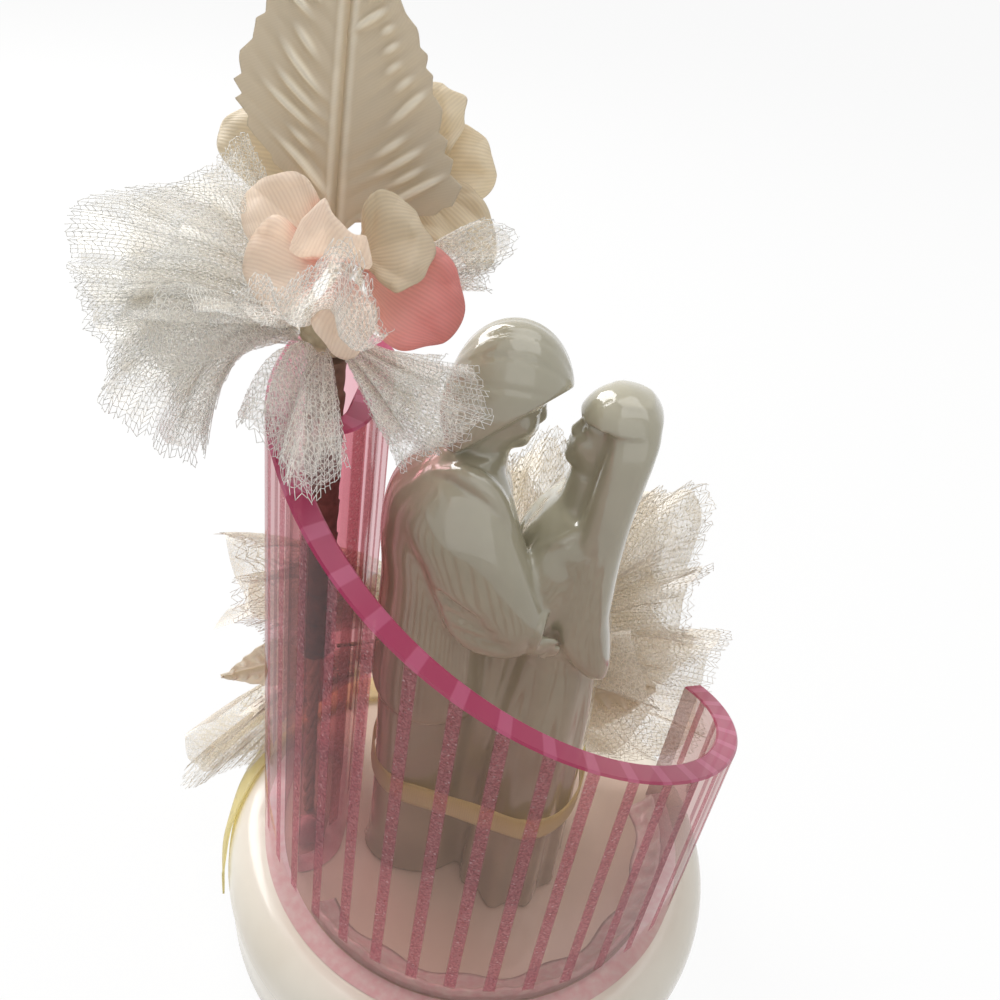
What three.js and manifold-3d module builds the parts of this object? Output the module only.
// Wedding cake topper: a porcelain couple inside a rolled acrylic scroll on a round base,
// with a satin and tulle spray standing in the scroll's curl and another tied behind the couple.
// Millimetres, +Z up. The base's axis is X = Y = 0 until the finished group is centred on its footprint.
import * as THREE from "three";
import { mergeVertices } from "three/addons/utils/BufferGeometryUtils.js";
import Module from "manifold-3d";

const wasm = await Module();
wasm.setup();

// Base: a moulded shell, open underneath
const BASE_HEIGHT = 23;
const BASE_LEDGE = 6.7;
const BASE_WALL = 2;
const BASE_FLAT_MARGIN = 1;
const BASE_LIP_HEIGHT = 14;
const BASE_LIP_PROUD = 0.9;
const BASE_LIP_DROP = 2.4;
const BASE_FOOT_WIDTH = 3;
const BASE_FOOT_HEIGHT = 2.5;

// Acrylic scroll: one sheet that runs round the front and curls into a column at the left
const SCROLL_RADIUS = 45;
const SHEET_THICKNESS = 4;
const SCROLL_START = 20;
const SHEET_LOW_END = 37;
const SHEET_TALL_END = 107;
const RIM_SLOPE = 0.53;
const RIM_KNEE = 3;
const CURL_RADIUS = 7;
const CURL_RUN_BACK = 5;
const CURL_RUN_FORWARD = 16.6;
const CURL_END_TURN = 78;

// Cement bead along the scroll's inside foot
const BEAD_WIDTH = 5;
const BEAD_HEIGHT = 4;
const BEAD_END = -136;
const DAB_HEIGHT = 5;
const DAB_CLEARANCE = 2;

// Couple: rings of height, centre and half-widths above the base's top
const GROOM_TRUNK = [
  [0, -12.5, -3, 11, 13.5], [3, -12.5, -3, 10, 12.6], [22, -13, -2.6, 9.6, 12], [46, -13.4, -2.2, 10.2, 12.6],
  [48, -13.6, -2.2, 11.6, 14], [60, -14, -2, 11.2, 13.8], [72, -14.3, -2, 10.6, 13.4], [82, -14.6, -2, 10.4, 14],
  [89, -14.5, -2, 9.4, 13.2], [94, -13.6, -2, 7.2, 9.6], [98, -12.2, -1.8, 5.2, 5.6], [103, -10.4, -1.6, 4.8, 5],
];
const BRIDE_TRUNK = [
  [0, 7.5, -3, 12.4, 18.5], [3, 7.5, -3, 12, 18], [22, 7.5, -3, 11.2, 15.6], [42, 7.8, -2.6, 10.2, 13],
  [56, 8, -2.3, 8.8, 11], [64, 7.6, -2.2, 7.6, 9.4], [72, 6.4, -2.2, 7.8, 9.8], [80, 6, -2.2, 7.4, 10],
  [86, 6.8, -2.2, 6.4, 9], [91, 7.6, -2, 4.4, 5.4], [97, 7.6, -2, 3.8, 4.2],
];
const BRIDE_HAIR = [
  [60, 13, -7, 3.2, 6.5], [62, 12.8, -7, 4.8, 8], [68, 12.6, -6.4, 5, 8.2], [78, 14.6, -4.8, 3.8, 8],
  [90, 15.4, -3.4, 3.4, 7.6], [100, 14, -2.4, 4.2, 7.2], [106, 11, -2, 4, 5.5],
];

// Satin ribbon tied round the couple's legs
const RIBBON_WIDTH = 5.5;
const RIBBON_THICKNESS = 0.6;
const RIBBON_HEIGHT = 25;
const RIBBON_KNOT_RADIUS = 3.5;

// Sprays
const STEM_RADIUS = 3.2;
const STEM_TAPE_LENGTH = 62;
const WIRE_LEG_RADIUS = 1.3;
const STEM_SET_FORWARD = 5;
const KNOT_RADIUS = 4.2;
const KNOT_ABOVE_RIM = 8.5;
const STALK_RADIUS = 0.7;
const LEAF_WIRE_RADIUS = 0.5;
const TULLE_THICKNESS = 0.6;
const SATIN_THICKNESS = 0.7;
const PETAL_ROW_GAP = 1.6;
const SEAT_GAP = 0.3;

const rad = THREE.MathUtils.degToRad;
const v3 = (x, y, z) => new THREE.Vector3(x, y, z);

const MATERIALS = {
  base: new THREE.MeshStandardMaterial({ color: 0xe4dfd0, roughness: 0.3 }),
  acrylic: new THREE.MeshStandardMaterial({ color: 0xd0476f, roughness: 0.1, transparent: true, opacity: 0.45 }),
  cement: new THREE.MeshStandardMaterial({ color: 0xe8c4c8, roughness: 0.4 }),
  porcelain: new THREE.MeshStandardMaterial({ color: 0xe2dccd, roughness: 0.15 }),
  ribbon: new THREE.MeshStandardMaterial({ color: 0xdad49a, roughness: 0.35 }),
  tape: new THREE.MeshStandardMaterial({ color: 0x5b4636, roughness: 0.85 }),
  wire: new THREE.MeshStandardMaterial({ color: 0xcdbfa0, roughness: 0.6 }),
  ivory: new THREE.MeshStandardMaterial({ color: 0xc8bca4, roughness: 0.45 }),
  cream: new THREE.MeshStandardMaterial({ color: 0xdccdae, roughness: 0.55 }),
  peach: new THREE.MeshStandardMaterial({ color: 0xddb9a0, roughness: 0.55 }),
  salmon: new THREE.MeshStandardMaterial({ color: 0xd87880, roughness: 0.55 }),
  tulle: new THREE.MeshStandardMaterial({ color: 0xd4cdbf, roughness: 0.8, transparent: true, opacity: 0.5 }),
};

const topper = new THREE.Group();
const onBaseTop = new THREE.Group();
onBaseTop.position.z = BASE_HEIGHT;
topper.add(onBaseTop);

// Puts a named piece with its material into a group.
function place(group, name, geometry, material) {
  const mesh = new THREE.Mesh(geometry, material);
  mesh.name = name;
  group.add(mesh);
  return mesh;
}

// A closed indexed geometry from points and triangles.
function closed(points, triangles) {
  const geometry = new THREE.BufferGeometry().setFromPoints(points);
  geometry.setIndex(triangles);
  geometry.computeVertexNormals();
  return geometry;
}

// Joins rings of points, in order, into a closed body with fans over both ends.
function loft(rings) {
  const sides = rings[0].length;
  const points = rings.flat();
  const triangles = [];
  for (let i = 0; i + 1 < rings.length; i++) {
    for (let j = 0; j < sides; j++) {
      const a = i * sides + j;
      const b = i * sides + ((j + 1) % sides);
      triangles.push(a, b, a + sides, b, b + sides, a + sides);
    }
  }
  for (const [ring, first, turn] of [[rings[0], 0, 1], [rings.at(-1), (rings.length - 1) * sides, 0]]) {
    const middle = points.length;
    points.push(ring.reduce((sum, q) => sum.add(q), v3(0, 0, 0)).divideScalar(sides));
    for (let j = 0; j < sides; j++) {
      const k = (j + 1) % sides;
      triangles.push(middle, first + (turn ? k : j), first + (turn ? j : k));
    }
  }
  return closed(points, triangles);
}

// A thin closed sheet round a surface of u across (-1 to 1) and v along (0 to 1).
function sheet(surface, across, along, thickness) {
  const at = (i, j) => surface((2 * i) / across - 1, j / along);
  const small = 1e-3;
  const front = [];
  const back = [];
  for (let j = 0; j <= along; j++) {
    for (let i = 0; i <= across; i++) {
      const u = (2 * i) / across - 1;
      const v = j / along;
      const du = surface(Math.min(u + small, 1), v).sub(surface(Math.max(u - small, -1), v));
      const dv = surface(u, Math.min(v + small, 1)).sub(surface(u, Math.max(v - small, 0)));
      const normal = du.cross(dv).normalize().multiplyScalar(thickness / 2);
      front.push(at(i, j).add(normal));
      back.push(at(i, j).sub(normal));
    }
  }
  const row = across + 1;
  const offset = front.length;
  const triangles = [];
  for (let j = 0; j < along; j++) {
    for (let i = 0; i < across; i++) {
      const a = j * row + i;
      triangles.push(a, a + 1, a + row, a + 1, a + row + 1, a + row);
      triangles.push(offset + a, offset + a + row, offset + a + 1);
      triangles.push(offset + a + 1, offset + a + row, offset + a + row + 1);
    }
  }
  const edge = [];
  for (let i = 0; i < across; i++) edge.push(i);
  for (let j = 0; j < along; j++) edge.push(j * row + across);
  for (let i = across; i > 0; i--) edge.push(along * row + i);
  for (let j = along; j > 0; j--) edge.push(j * row);
  edge.forEach((a, k) => {
    const b = edge[(k + 1) % edge.length];
    triangles.push(a, offset + a, b, b, offset + a, offset + b);
  });
  return closed([...front, ...back], triangles);
}

// A round rod along a smooth path.
function rod(points, radius, sides, steps) {
  const section = new THREE.Shape();
  for (let k = 0; k < sides; k++) {
    const angle = (2 * Math.PI * k) / sides;
    const move = k === 0 ? "moveTo" : "lineTo";
    section[move](radius * Math.cos(angle), radius * Math.sin(angle));
  }
  return new THREE.ExtrudeGeometry(section, { steps, extrudePath: new THREE.CatmullRomCurve3(points) });
}

// A limb whose round section swells and tapers along a smooth path.
function limb(points, radii, sides, steps) {
  const path = new THREE.CatmullRomCurve3(points);
  const swell = new THREE.SplineCurve(radii.map((r, k) => new THREE.Vector2(k / (radii.length - 1), r)));
  const frames = path.computeFrenetFrames(steps, false);
  const rings = [];
  for (let i = 0; i <= steps; i++) {
    const centre = path.getPoint(i / steps);
    const radius = swell.getPoint(i / steps).y;
    const ring = [];
    for (let j = 0; j < sides; j++) {
      const angle = (2 * Math.PI * j) / sides;
      const out = frames.normals[i].clone().multiplyScalar(Math.cos(angle));
      out.addScaledVector(frames.binormals[i], Math.sin(angle));
      ring.push(centre.clone().addScaledVector(out, radius));
    }
    rings.push(ring);
  }
  return loft(rings);
}

// An upright body through elliptical rings of [height, x, y, half-width x, half-width y].
function trunk(stations, sides) {
  return loft(stations.map(([z, x, y, rx, ry]) => Array.from({ length: sides }, (_, j) => {
    const angle = (2 * Math.PI * j) / sides;
    return v3(x + rx * Math.cos(angle), y + ry * Math.sin(angle), z);
  })));
}

// An egg shape, cut flat at a share of its lower half, tilted about Y.
function egg([x, y, z], [rx, ry, rz], tilt, cut, fine = 14) {
  const geometry = new THREE.SphereGeometry(1, fine, Math.round(0.75 * fine)).rotateX(Math.PI / 2);
  const position = geometry.attributes.position;
  for (let i = 0; i < position.count; i++) position.setZ(i, Math.max(position.getZ(i), -cut));
  return geometry.scale(rx, ry, rz).rotateY(rad(tilt)).translate(x, y, z);
}

function solid(geometry) {
  const bare = geometry.clone();
  bare.deleteAttribute("normal");
  bare.deleteAttribute("uv");
  const merged = mergeVertices(bare, 1e-4);
  const mesh = new wasm.Mesh({
    numProp: 3,
    vertProperties: new Float32Array(merged.attributes.position.array),
    triVerts: new Uint32Array(merged.index.array),
  });
  mesh.merge();
  return new wasm.Manifold(mesh);
}

function unite(geometries) {
  const mesh = geometries.map(solid).reduce((whole, next) => whole.add(next)).getMesh();
  const geometry = new THREE.BufferGeometry();
  const points = [];
  for (let i = 0; i < mesh.vertProperties.length; i += mesh.numProp) {
    points.push(mesh.vertProperties[i], mesh.vertProperties[i + 1], mesh.vertProperties[i + 2]);
  }
  geometry.setAttribute("position", new THREE.Float32BufferAttribute(points, 3));
  geometry.setIndex(Array.from(mesh.triVerts));
  geometry.computeVertexNormals();
  return geometry;
}

// Base: flat top, rounded shoulder, small lip and an upright wall on a thickened foot
const BASE_RADIUS = SCROLL_RADIUS + BASE_LEDGE;
const BASE_FLAT = SCROLL_RADIUS + BASE_FLAT_MARGIN;

// The base's outer skin, by distance from the flat's edge: out over the shoulder and down the wall.
function baseSkin(travel) {
  const width = BASE_RADIUS - BASE_FLAT;
  const height = BASE_HEIGHT - BASE_LIP_HEIGHT;
  const arc = 0.5 * Math.PI * Math.sqrt((width * width + height * height) / 2);
  if (travel <= 0) return { radius: BASE_FLAT + travel, z: BASE_HEIGHT, out: 0, up: 1 };
  if (travel >= arc) {
    const radius = BASE_RADIUS + BASE_LIP_PROUD;
    return { radius, z: BASE_LIP_HEIGHT - (travel - arc), out: 1, up: 0 };
  }
  const angle = (0.5 * Math.PI * travel) / arc;
  const proud = BASE_LIP_PROUD * Math.sin(angle);
  const radius = BASE_FLAT + (width + proud) * Math.sin(angle);
  return { radius, z: BASE_LIP_HEIGHT + height * Math.cos(angle), out: Math.sin(angle), up: Math.cos(angle) };
}

function baseProfile() {
  const inner = BASE_RADIUS - BASE_WALL;
  const profile = [[0, BASE_HEIGHT], [BASE_FLAT, BASE_HEIGHT]];
  for (let k = 1; k <= 5; k++) {
    const angle = (Math.PI * k) / 10;
    const across = BASE_RADIUS + BASE_LIP_PROUD - BASE_FLAT;
    const fall = BASE_HEIGHT - BASE_LIP_HEIGHT;
    profile.push([BASE_FLAT + across * Math.sin(angle), BASE_LIP_HEIGHT + fall * Math.cos(angle)]);
  }
  profile.push([BASE_RADIUS + BASE_LIP_PROUD, BASE_LIP_HEIGHT - BASE_LIP_DROP / 2]);
  profile.push([BASE_RADIUS, BASE_LIP_HEIGHT - BASE_LIP_DROP], [BASE_RADIUS, 0]);
  profile.push([BASE_RADIUS - BASE_FOOT_WIDTH, 0], [BASE_RADIUS - BASE_FOOT_WIDTH, BASE_FOOT_HEIGHT]);
  profile.push([inner, BASE_FOOT_HEIGHT + BASE_FOOT_WIDTH - BASE_WALL], [inner, BASE_LIP_HEIGHT]);
  for (let k = 1; k <= 3; k++) {
    const angle = (Math.PI * k) / 6;
    const across = inner - BASE_FLAT + BASE_WALL;
    const rise = BASE_HEIGHT - BASE_WALL - BASE_LIP_HEIGHT;
    profile.push([inner - across * (1 - Math.cos(angle)), BASE_LIP_HEIGHT + rise * Math.sin(angle)]);
  }
  profile.push([0, BASE_HEIGHT - BASE_WALL]);
  return profile.map(([x, y]) => new THREE.Vector2(x, y)).reverse();
}
place(topper, "base", new THREE.LatheGeometry(baseProfile(), 60).rotateX(Math.PI / 2), MATERIALS.base);

// Acrylic scroll: the sheet's middle line, clockwise from its low free end at the right
const SHEET_MIDDLE = SCROLL_RADIUS - SHEET_THICKNESS / 2;
const CURL_X = -(SHEET_MIDDLE - CURL_RADIUS);

// The couple and the back spray are drawn for a clear room 68 wide in a scroll 107 tall, and follow both
const ROOM_LEFT = CURL_X + CURL_RADIUS + SHEET_THICKNESS / 2;
const ROOM_RIGHT = SCROLL_RADIUS - SHEET_THICKNESS;
const SPREAD = (ROOM_RIGHT - ROOM_LEFT) / 68;
const RISE = SHEET_TALL_END / 107;
const inRoom = (x, y, z) => v3(ROOM_LEFT + (x + 27) * SPREAD, y * SPREAD, z * RISE);
const fitted = (stations) => stations.map(([z, x, y, rx, ry]) => {
  const middle = inRoom(x, y, z);
  return [middle.z, middle.x, middle.y, rx * SPREAD, ry * SPREAD];
});

function scrollStations() {
  const stations = [];
  let length = 0;
  const add = (x, y, nx, ny) => {
    const last = stations.at(-1);
    if (last) length += Math.hypot(x - last.x, y - last.y);
    stations.push({ x, y, nx, ny, length });
  };
  const arc = (cx, cy, radius, from, to, steps, first) => {
    for (let k = first; k <= steps; k++) {
      const angle = rad(from + ((to - from) * k) / steps);
      add(cx + radius * Math.cos(angle), cy + radius * Math.sin(angle), Math.cos(angle), Math.sin(angle));
    }
  };
  arc(0, 0, SHEET_MIDDLE, SCROLL_START, -180, 40, 0);
  arc(CURL_X, CURL_RUN_BACK, CURL_RADIUS, 180, 0, 12, 0);
  arc(CURL_X, CURL_RUN_BACK - CURL_RUN_FORWARD, CURL_RADIUS, 0, -CURL_END_TURN, 6, 0);
  return stations;
}

// The slanting rim, easing into a level top.
function rimHeight(length) {
  const slant = SHEET_LOW_END + RIM_SLOPE * length;
  const middle = (slant + SHEET_TALL_END) / 2;
  const half = (slant - SHEET_TALL_END) / 2;
  return middle - Math.hypot(half, RIM_KNEE);
}

const STATIONS = scrollStations();
place(onBaseTop, "acrylic_scroll", loft(STATIONS.map(({ x, y, nx, ny, length }) => {
  const half = SHEET_THICKNESS / 2;
  const top = rimHeight(length);
  const outer = [x + half * nx, y + half * ny];
  const inner = [x - half * nx, y - half * ny];
  return [v3(...outer, 0), v3(...outer, top), v3(...inner, top), v3(...inner, 0)];
})), MATERIALS.acrylic);

// Cement bead: a fillet with an uneven crest in the corner of the sheet and the base
const BEAD_RADIUS = SCROLL_RADIUS - SHEET_THICKNESS - SEAT_GAP;
const BEAD_STEPS = 40;
place(onBaseTop, "scroll_cement_bead", loft(Array.from({ length: BEAD_STEPS + 1 }, (_, k) => {
  const share = k / BEAD_STEPS;
  const angle = rad(SCROLL_START - 4 + (BEAD_END - SCROLL_START + 4) * share);
  const crest = BEAD_HEIGHT * (1 + 0.12 * Math.sin(23 * share) + 0.08 * Math.sin(51 * share + 1));
  const point = (inward, z) => v3((BEAD_RADIUS - inward) * Math.cos(angle), (BEAD_RADIUS - inward) * Math.sin(angle), z);
  const waist = [0.62 * BEAD_WIDTH, 0.3 * crest];
  const shoulder = [0.28 * BEAD_WIDTH, 0.62 * crest];
  return [point(0, 0), point(0, crest), point(...shoulder), point(...waist), point(BEAD_WIDTH, 0)];
})), MATERIALS.cement);

// A dab of cement holds the curl's inner end down
const DAB_RADIUS = CURL_RADIUS - SHEET_THICKNESS / 2 - DAB_CLEARANCE;
const dabProfile = Array.from({ length: 6 }, (_, k) => {
  const angle = (Math.PI * k) / 10;
  return new THREE.Vector2(DAB_RADIUS * Math.cos(angle), DAB_HEIGHT * Math.sin(angle));
});
dabProfile[5].x = 0;
place(onBaseTop, "curl_cement_dab", new THREE.LatheGeometry([new THREE.Vector2(0, 0), ...dabProfile], 16)
  .rotateX(Math.PI / 2).translate(CURL_X + 0.7 * DAB_CLEARANCE, CURL_RUN_BACK - CURL_RUN_FORWARD + 0.3 * DAB_CLEARANCE, 0), MATERIALS.cement);

// Couple: trunks, sleeves, heads, hair and hands joined into one casting
const GROOM = fitted(GROOM_TRUNK);
const BRIDE = fitted(BRIDE_TRUNK);
const arm = (points, radii, sides, steps) =>
  limb(points.map((q) => inRoom(...q)), radii.map((r) => r * SPREAD), sides, steps);
const ovoid = (middle, [rx, ry, rz], tilt, cut, fine) =>
  egg(inRoom(...middle).toArray(), [rx * SPREAD, ry * SPREAD, rz * RISE], tilt, cut, fine);
place(onBaseTop, "couple_figurine", unite([
  trunk(GROOM, 18),
  trunk(BRIDE, 18),
  trunk(fitted(BRIDE_HAIR), 14),
  arm([[-16.5, -11, 89], [-15, -15, 79], [-10.5, -16, 69.5], [-3, -15.6, 69.6], [3.5, -13.6, 72.5]],
    [5.8, 6.4, 6.1, 5, 3.4], 12, 12),
  arm([[1, -14.2, 71.4], [4.6, -13.2, 70.4], [8.4, -11, 67.4]], [2.4, 2.6, 1.6], 8, 5),
  arm([[-16, 7, 89], [-13, 8.6, 79], [-9, 9, 70], [2, 8, 69], [10, 6, 69]], [5.4, 5, 4.6, 4, 2.4], 10, 10),
  arm([[5.5, -8.6, 85], [0, -9.8, 79], [-6, -8.6, 82]], [3.6, 3.2, 2.8], 8, 6),
  arm([[6.5, 3.4, 86], [0, 4.6, 89.5], [-8, 4.2, 92]], [3.4, 3, 2.4], 8, 6),
  ovoid([-8, -1.7, 107.2], [6, 6, 7.8], 10, 1),
  ovoid([-2.2, -1.7, 106.4], [1.6, 1.1, 1.5], 0, 1, 8),
  ovoid([-8.2, -1.7, 110.6], [10, 8.8, 9.2], 24, 0.3),
  ovoid([7.5, -2, 103.4], [6.2, 5.9, 7.5], -10, 1),
  ovoid([1.5, -2, 104.2], [1.3, 1, 1.3], 0, 1, 8),
  ovoid([9.6, -2, 104.8], [8, 7.7, 7.4], -38, 0.35),
]), MATERIALS.porcelain);

// The half-widths of a trunk at a height, between its rings.
function ringAt(stations, z) {
  const k = Math.max(1, stations.findIndex((ring) => ring[0] >= z));
  const [low, high] = [stations[k - 1], stations[k]];
  const share = (z - low[0]) / (high[0] - low[0]);
  return low.map((value, i) => value + (high[i] - value) * share);
}

// A loop drawn tight round both trunks at a height.
function girdle(z, gap, count) {
  const rings = [ringAt(GROOM, z), ringAt(BRIDE, z)];
  return Array.from({ length: count }, (_, k) => {
    const c = Math.cos((2 * Math.PI * k) / count);
    const s = Math.sin((2 * Math.PI * k) / count);
    const reach = ([, x, y, rx, ry]) => x * c + y * s + Math.hypot(rx * c, ry * s);
    const [, x, y, rx, ry] = rings.reduce((best, ring) => (reach(ring) > reach(best) ? ring : best));
    const size = Math.hypot(rx * c, ry * s);
    return v3(x + (rx * rx * c) / size + gap * c, y + (ry * ry * s) / size + gap * s, z);
  });
}

// A closed band from four loops of points.
function band(loops) {
  const count = loops[0].length;
  const triangles = [];
  loops.forEach((_, i) => {
    const here = i * count;
    const next = ((i + 1) % loops.length) * count;
    for (let j = 0; j < count; j++) {
      const k = (j + 1) % count;
      triangles.push(here + j, here + k, next + j, here + k, next + k, next + j);
    }
  });
  return closed(loops.flat(), triangles);
}
const RIBBON_LOW = RIBBON_HEIGHT - RIBBON_WIDTH / 2;
const RIBBON_HIGH = RIBBON_HEIGHT + RIBBON_WIDTH / 2;
const RIBBON_OUT = SEAT_GAP + RIBBON_THICKNESS;
place(onBaseTop, "ribbon_band", band([
  girdle(RIBBON_LOW, SEAT_GAP, 48), girdle(RIBBON_LOW, RIBBON_OUT, 48),
  girdle(RIBBON_HIGH, RIBBON_OUT, 48), girdle(RIBBON_HIGH, SEAT_GAP, 48),
]), MATERIALS.ribbon);

// The back knot sits on the band, behind the gap between the two figures
const BAND_BACK = Math.max(...girdle(RIBBON_LOW, RIBBON_OUT, 96).map((q) => q.y));
const BACK_KNOT = v3(inRoom(-4, 0, 0).x, BAND_BACK + SEAT_GAP + RIBBON_KNOT_RADIUS, RIBBON_HEIGHT);
const knot = (radius, at) => new THREE.SphereGeometry(radius, 12, 8).rotateX(Math.PI / 2).translate(at.x, at.y, at.z);
place(onBaseTop, "ribbon_knot", knot(RIBBON_KNOT_RADIUS, BACK_KNOT), MATERIALS.ribbon);

// Ribbon tail: from under the knot along the base's top and over its left shoulder
function onSkin(degrees, travel, lift) {
  const { radius, z, out, up } = baseSkin(travel);
  const reach = radius + lift * out;
  return v3(reach * Math.cos(rad(degrees)), reach * Math.sin(rad(degrees)), z + lift * up - BASE_HEIGHT);
}
const TAIL_LIFT = 2 * SEAT_GAP + RIBBON_THICKNESS;
const TAIL_COURSE = [[96, -17], [112, -11], [130, -4.5], [146, 0.5], [160, 3], [176, 6.5], [190, 10.5], [200, 15]];
const tailUnder = BACK_KNOT.clone().add(v3(-1, 2, -RIBBON_KNOT_RADIUS - SEAT_GAP - 1.4));
const tailEdge = (shift) => new THREE.CatmullRomCurve3([
  tailUnder.clone().add(v3(shift, 0, 0)),
  tailUnder.clone().add(v3(shift, 4, -10)),
  ...TAIL_COURSE.map(([degrees, travel]) => onSkin(degrees, travel * SPREAD + shift, TAIL_LIFT)),
]);
place(onBaseTop, "ribbon_tail", sheet((u, v) => tailEdge((u * RIBBON_WIDTH) / 2).getPoint(v), 4, 26, RIBBON_THICKNESS),
  MATERIALS.ribbon);

// A gathered fan of tulle: from a knot out to a rim curve, pleated, with a bow at each of its two sides.
function fan({ from, start, rim, bows, pleats, depth }) {
  const edge = new THREE.CatmullRomCurve3(rim);
  const middle = edge.getPoint(0.5).sub(from);
  const along = rim.at(-1).clone().sub(rim[0]);
  const face = middle.clone().cross(along).normalize();
  return sheet((u, v) => {
    const spoke = edge.getPoint((u + 1) / 2).sub(from);
    const first = start / spoke.length();
    const share = first + (1 - first) * v;
    const ripple = depth * v * Math.sin(Math.PI * pleats * u);
    const bow = bows[0].clone().lerp(bows[1], (u + 1) / 2);
    return from.clone().addScaledVector(spoke, share)
      .addScaledVector(bow, 4 * v * (1 - v)).addScaledVector(face, ripple);
  }, 3 * pleats, 5, TULLE_THICKNESS);
}

// A petal or leaf: a cupped blade from its root to its tip, wide where its outline says.
function blade({ root, tip, facing, width, outline, cup, fold = 0, thickness = SATIN_THICKNESS, grid = [6, 6] }) {
  const spine = tip.clone().sub(root);
  const side = spine.clone().cross(facing).normalize();
  const front = side.clone().cross(spine).normalize();
  return sheet((u, v) => {
    const half = 0.5 * width * outline(v);
    const lift = cup * (u * u * half * half * 4 / (width * width) + 0.6 * Math.sin(Math.PI * v) - 0.5);
    return root.clone().addScaledVector(spine, v).addScaledVector(side, u * half)
      .addScaledVector(front, lift - cup * -0.5 * (1 - v) - fold * Math.abs(u) * half);
  }, ...grid, thickness);
}
const petalOutline = (v) => 0.16 + 0.84 * Math.pow(Math.sin(Math.PI * (0.06 + 0.86 * Math.pow(v, 0.85))), 0.8);
const leafOutline = (v) => 0.05 + 0.95 * Math.pow(Math.sin(Math.PI * Math.pow(0.02 + 0.97 * v, 0.8)), 0.85);

// Top spray: everything hangs on a taped stem that stands in the scroll's curl
const topSpray = new THREE.Group();
onBaseTop.add(topSpray);
const STEM_Y = -STEM_SET_FORWARD;
const KNOT = v3(CURL_X, STEM_Y, SHEET_TALL_END + KNOT_ABOVE_RIM);
const stemTop = KNOT.z - KNOT_RADIUS - SEAT_GAP;
const tapeFoot = stemTop - STEM_TAPE_LENGTH;
const upright = (low, high) => [low, (low + high) / 2, high].map((z) => v3(KNOT.x, KNOT.y, z));
place(topSpray, "spray_stem", rod(upright(tapeFoot, stemTop), STEM_RADIUS, 12, 4), MATERIALS.tape);
place(topSpray, "spray_wire_leg", rod(upright(SEAT_GAP, tapeFoot - SEAT_GAP), WIRE_LEG_RADIUS, 8, 4), MATERIALS.wire);
place(topSpray, "spray_binding", knot(KNOT_RADIUS, KNOT), MATERIALS.tape);

// A point on the knot's skin towards a direction, clear by the seat gap.
const offKnot = (x, y, z, clear) => KNOT.clone().add(v3(x, y, z).normalize().multiplyScalar(KNOT_RADIUS + clear));

// The top spray is drawn for a knot of radius 4.2 and follows it
const SPRAY = KNOT_RADIUS / 4.2;
const fromKnot = (x, y, z) => KNOT.clone().addScaledVector(v3(x, y, z), SPRAY);
const TULLE_START = KNOT_RADIUS + SEAT_GAP + TULLE_THICKNESS / 2;
const TOP_FANS = [
  { name: "tulle_left_upper", rim: [[-13, 3, 24], [-19, 0, 20.5], [-31, -3, 16], [-34, -5, 9]],
    bows: [[0, 0, 2], [0, 0, 3]], pleats: 4, depth: 1.6 },
  { name: "tulle_left_lower", rim: [[-35, -5, 2], [-34.5, -6, -7], [-28, -8, -17], [-17, -13, -22]],
    bows: [[0, 0, 2], [-2, 0, 8]], pleats: 5, depth: 1.6 },
  { name: "tulle_front_drape", rim: [[-8, -17, -7.5], [-3, -22, -10], [4, -28, -10], [9, -27, -6]],
    bows: [[0, 0, 5], [0, 0, 0.5]], pleats: 4, depth: 1.2 },
  { name: "tulle_right_drape", rim: [[15, -20, -9], [20, -17, -9], [25, -14, -3], [25, -12, 5]],
    bows: [[0, -2, 3], [0, -2, 0]], pleats: 4, depth: 1.2 },
  { name: "tulle_right_upper", rim: [[22, 1, 9], [25, 2, 15], [22, 3, 21]],
    bows: [[0, 0, 2], [0, 0, 2]], pleats: 3, depth: 1 },
];
for (const { name, rim, bows, pleats, depth } of TOP_FANS) {
  place(topSpray, name, fan({
    from: KNOT, start: TULLE_START, rim: rim.map((q) => fromKnot(...q)),
    bows: bows.map((q) => v3(...q).multiplyScalar(SPRAY)), pleats, depth: depth * SPRAY,
  }), MATERIALS.tulle);
}

// Large serrated leaf on its wire
const LEAF_ROOT = fromKnot(-0.8, 4.5, 6.5);
const LEAF_TIP = fromKnot(-1, 10.5, 53);
place(topSpray, "large_leaf", blade({
  root: LEAF_ROOT, tip: LEAF_TIP, facing: v3(0, -1, 0.1), width: 29 * SPRAY, outline: leafOutline,
  cup: 2.2 * SPRAY, fold: 0.12, grid: [8, 10],
}), MATERIALS.ivory);
const wireBack = SATIN_THICKNESS / 2 + LEAF_WIRE_RADIUS + SEAT_GAP;
const leafSpine = LEAF_TIP.clone().sub(LEAF_ROOT);
place(topSpray, "leaf_wire", rod([
  offKnot(-0.2, 0.7, 1, SEAT_GAP + LEAF_WIRE_RADIUS * 0.4),
  LEAF_ROOT.clone().add(v3(0, wireBack + 0.8, -0.5)),
  LEAF_ROOT.clone().addScaledVector(leafSpine, 0.3).add(v3(0, wireBack + 0.6, 0)),
], LEAF_WIRE_RADIUS, 6, 8), MATERIALS.wire);

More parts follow.
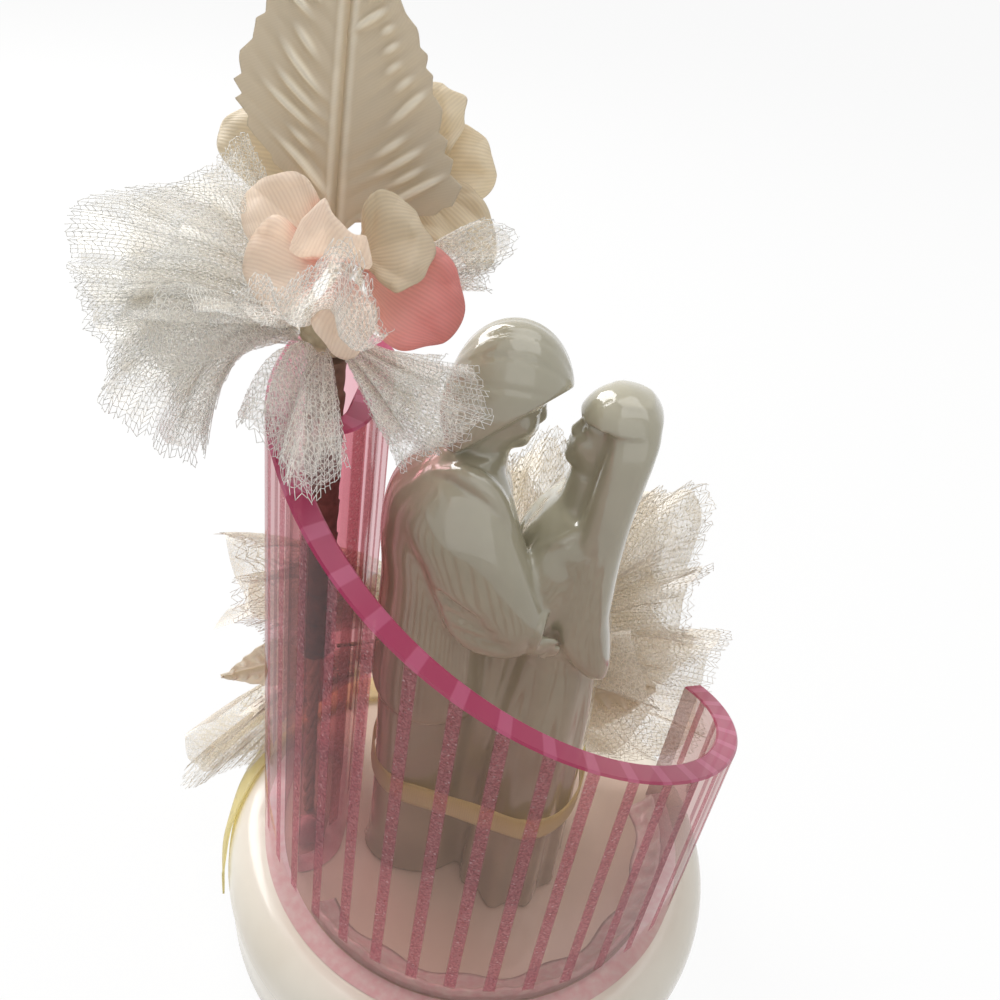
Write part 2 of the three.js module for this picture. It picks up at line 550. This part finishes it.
// A flower of petals round a core on a stalk from the knot.
function flower(name, core, coreRadius, stalk, petals) {
  place(topSpray, `${name}_core`, knot(coreRadius, core), MATERIALS.peach);
  place(topSpray, `${name}_stalk`, rod(stalk, STALK_RADIUS, 6, 6), MATERIALS.wire);
  petals.forEach(({ tip, facing, row, width, cup, material }, k) => {
    const forward = v3(...facing).normalize().multiplyScalar(row * PETAL_ROW_GAP);
    const goal = fromKnot(...tip).add(forward);
    const out = goal.clone().sub(core).normalize();
    const seat = out.multiplyScalar(coreRadius).addScaledVector(forward, 0.9).setLength(coreRadius + SEAT_GAP + SATIN_THICKNESS / 4);
    const root = core.clone().add(seat);
    place(topSpray, `${name}_petal_${k + 1}`, blade({
      root, tip: goal, facing: v3(...facing), width: width * SPRAY, outline: petalOutline, cup: cup * SPRAY,
    }), material);
  });
}

const ROSE_CORE = fromKnot(2.8, -3, 12.4);
const ROSE_CORE_RADIUS = 2.6 * SPRAY;
flower("rose", ROSE_CORE, ROSE_CORE_RADIUS, [
  offKnot(0.15, -0.3, 1, SEAT_GAP + STALK_RADIUS * 0.3),
  KNOT.clone().lerp(ROSE_CORE, 0.56),
  ROSE_CORE.clone().lerp(KNOT, (ROSE_CORE_RADIUS + SEAT_GAP + 0.1) / ROSE_CORE.distanceTo(KNOT)),
], [
  { tip: [-9.5, -3.5, 21.5], row: -1, facing: [0.1, -0.9, 0.4], width: 9, cup: 2, material: MATERIALS.peach },
  { tip: [-9.5, -8, 10], row: 1, facing: [0.1, -0.8, 0.6], width: 8, cup: 2, material: MATERIALS.salmon },
  { tip: [14, -3, 18], row: 1, facing: [-0.1, -0.9, 0.4], width: 9, cup: 2, material: MATERIALS.cream },
  { tip: [19, -6, 8], row: -1, facing: [-0.1, -0.8, 0.6], width: 11, cup: 2, material: MATERIALS.salmon },
  { tip: [5.5, -12, 2.5], row: 1, facing: [0, -0.6, 0.8], width: 8, cup: 1.6, material: MATERIALS.cream },
  { tip: [2, -9.5, 20.5], row: 1, facing: [0, -0.8, -0.4], width: 6, cup: 1.6, material: MATERIALS.peach },
]);

const BLOSSOM_CORE = fromKnot(4.5, 14.5, 20.5);
const BLOSSOM_CORE_RADIUS = 2.5 * SPRAY;
flower("blossom", BLOSSOM_CORE, BLOSSOM_CORE_RADIUS, [
  offKnot(0.6, 0.7, 0.6, SEAT_GAP + STALK_RADIUS * 0.3),
  KNOT.clone().lerp(BLOSSOM_CORE, 0.5).add(v3(1.5, 1, -1)),
  BLOSSOM_CORE.clone().lerp(KNOT, (BLOSSOM_CORE_RADIUS + SEAT_GAP + 0.2) / BLOSSOM_CORE.distanceTo(KNOT)),
], [
  { tip: [-20, 12.5, 21], row: 1, facing: [0, -0.9, 0.3], width: 12, cup: 1.6, material: MATERIALS.cream },
  { tip: [14.5, 14, 35], row: 1, facing: [0, -0.9, 0.3], width: 11, cup: 1.6, material: MATERIALS.cream },
  { tip: [21.5, 13, 25.5], row: -1, facing: [0, -0.9, 0.3], width: 10, cup: 1.6, material: MATERIALS.cream },
  { tip: [22, 7.5, 11.5], row: 1, facing: [0, -0.6, 0.8], width: 9, cup: 1.6, material: MATERIALS.cream },
  { tip: [-6, 17, 39], row: -1, facing: [0, -0.9, 0.3], width: 12, cup: 1.6, material: MATERIALS.cream },
]);

// Back spray: tulle fans and two satin leaves gathered at the ribbon's knot
const BACK_START = RIBBON_KNOT_RADIUS + SEAT_GAP + TULLE_THICKNESS / 2;
const fromBackKnot = (x, y, z) => BACK_KNOT.clone().addScaledVector(v3(x, y, z), SPREAD);
const BACK_FANS = [
  { name: "tulle_back_left_low", rim: [[-57, -15, -31], [-67, -16, -36], [-64, -13, -26], [-61, -12, -17]],
    bows: [[0, 12, 6], [0, 12, 6]], pleats: 3, depth: 1.4 },
  { name: "tulle_back_left_high", rim: [[-56, -12, 10], [-56, -11, 21], [-54, -9, 33], [-49, -7, 37]],
    bows: [[0, 10, 3], [0, 10, 3]], pleats: 4, depth: 1.6 },
  { name: "tulle_back_centre", rim: [[-14, 8, 51], [-4, 10, 57], [6, 10, 57], [12, 9, 53]],
    bows: [[0, 3, 0], [0, 3, 0]], pleats: 4, depth: 1.6 },
  { name: "tulle_back_right_high", rim: [[18, 8, 57], [26, 8, 59.5], [35, 6, 51], [39, 5, 41]],
    bows: [[0, 3, 0], [0, 3, 0]], pleats: 4, depth: 1.6 },
  { name: "tulle_back_right_low", rim: [[41, 4, 34], [43.5, 4, 25], [44, 4, 15], [42, 4, 7]],
    bows: [[0, 4, 2], [0, 4, 2]], pleats: 4, depth: 1.4 },
];
for (const { name, rim, bows, pleats, depth } of BACK_FANS) {
  place(onBaseTop, name, fan({
    from: BACK_KNOT, start: BACK_START, rim: rim.map((q) => fromBackKnot(...q)),
    bows: bows.map((q) => v3(...q).multiplyScalar(SPREAD)), pleats, depth: depth * SPREAD,
  }), MATERIALS.tulle);
}

// Two satin leaves on wires from the knot, the left one lying round the back of the scroll's curl
const CURL_SCALE = CURL_RADIUS / 7;
const byCurl = (x, y, z) => v3(CURL_X, CURL_RUN_BACK, RIBBON_HEIGHT).addScaledVector(v3(x, y, z), CURL_SCALE);
const BACK_LEAVES = [
  { name: "left", carrier: byCurl, scale: CURL_SCALE, start: [-1, 0.2, 0.1], bend: [-18, 5, 2.5],
    root: [-1, 13.7, 1], tip: [-22, 0.8, -1], width: 12, cup: 1 },
  { name: "right", carrier: fromBackKnot, scale: SPREAD, start: [1, -0.4, 0.3], bend: [5, -0.6, 1.5],
    root: [9, -1.4, 3], tip: [37, -2.4, 9], width: 25, cup: 1.2 },
];
for (const { name, carrier, scale, start, bend, root, tip, width, cup } of BACK_LEAVES) {
  const foot = carrier(...root);
  const wireEnd = foot.clone().lerp(fromBackKnot(...bend), (SEAT_GAP + 0.3) / foot.distanceTo(fromBackKnot(...bend)));
  const wireStart = BACK_KNOT.clone().addScaledVector(v3(...start).normalize(), RIBBON_KNOT_RADIUS + SEAT_GAP + 0.2);
  place(onBaseTop, `back_leaf_${name}`, blade({
    root: foot, tip: carrier(...tip), facing: v3(0, -1, 0.2), width: width * scale, outline: leafOutline,
    cup: cup * scale, fold: 0.1, grid: [6, 8],
  }), MATERIALS.ivory);
  place(onBaseTop, `back_leaf_wire_${name}`, rod([wireStart, fromBackKnot(...bend), wireEnd], LEAF_WIRE_RADIUS, 6, 8), MATERIALS.wire);
}

// The topper stands with the middle of its footprint at the origin
topper.updateMatrixWorld(true);
const bounds = new THREE.Box3().setFromObject(topper, true);
topper.position.set(-(bounds.min.x + bounds.max.x) / 2, -(bounds.min.y + bounds.max.y) / 2, -bounds.min.z);

export default topper;
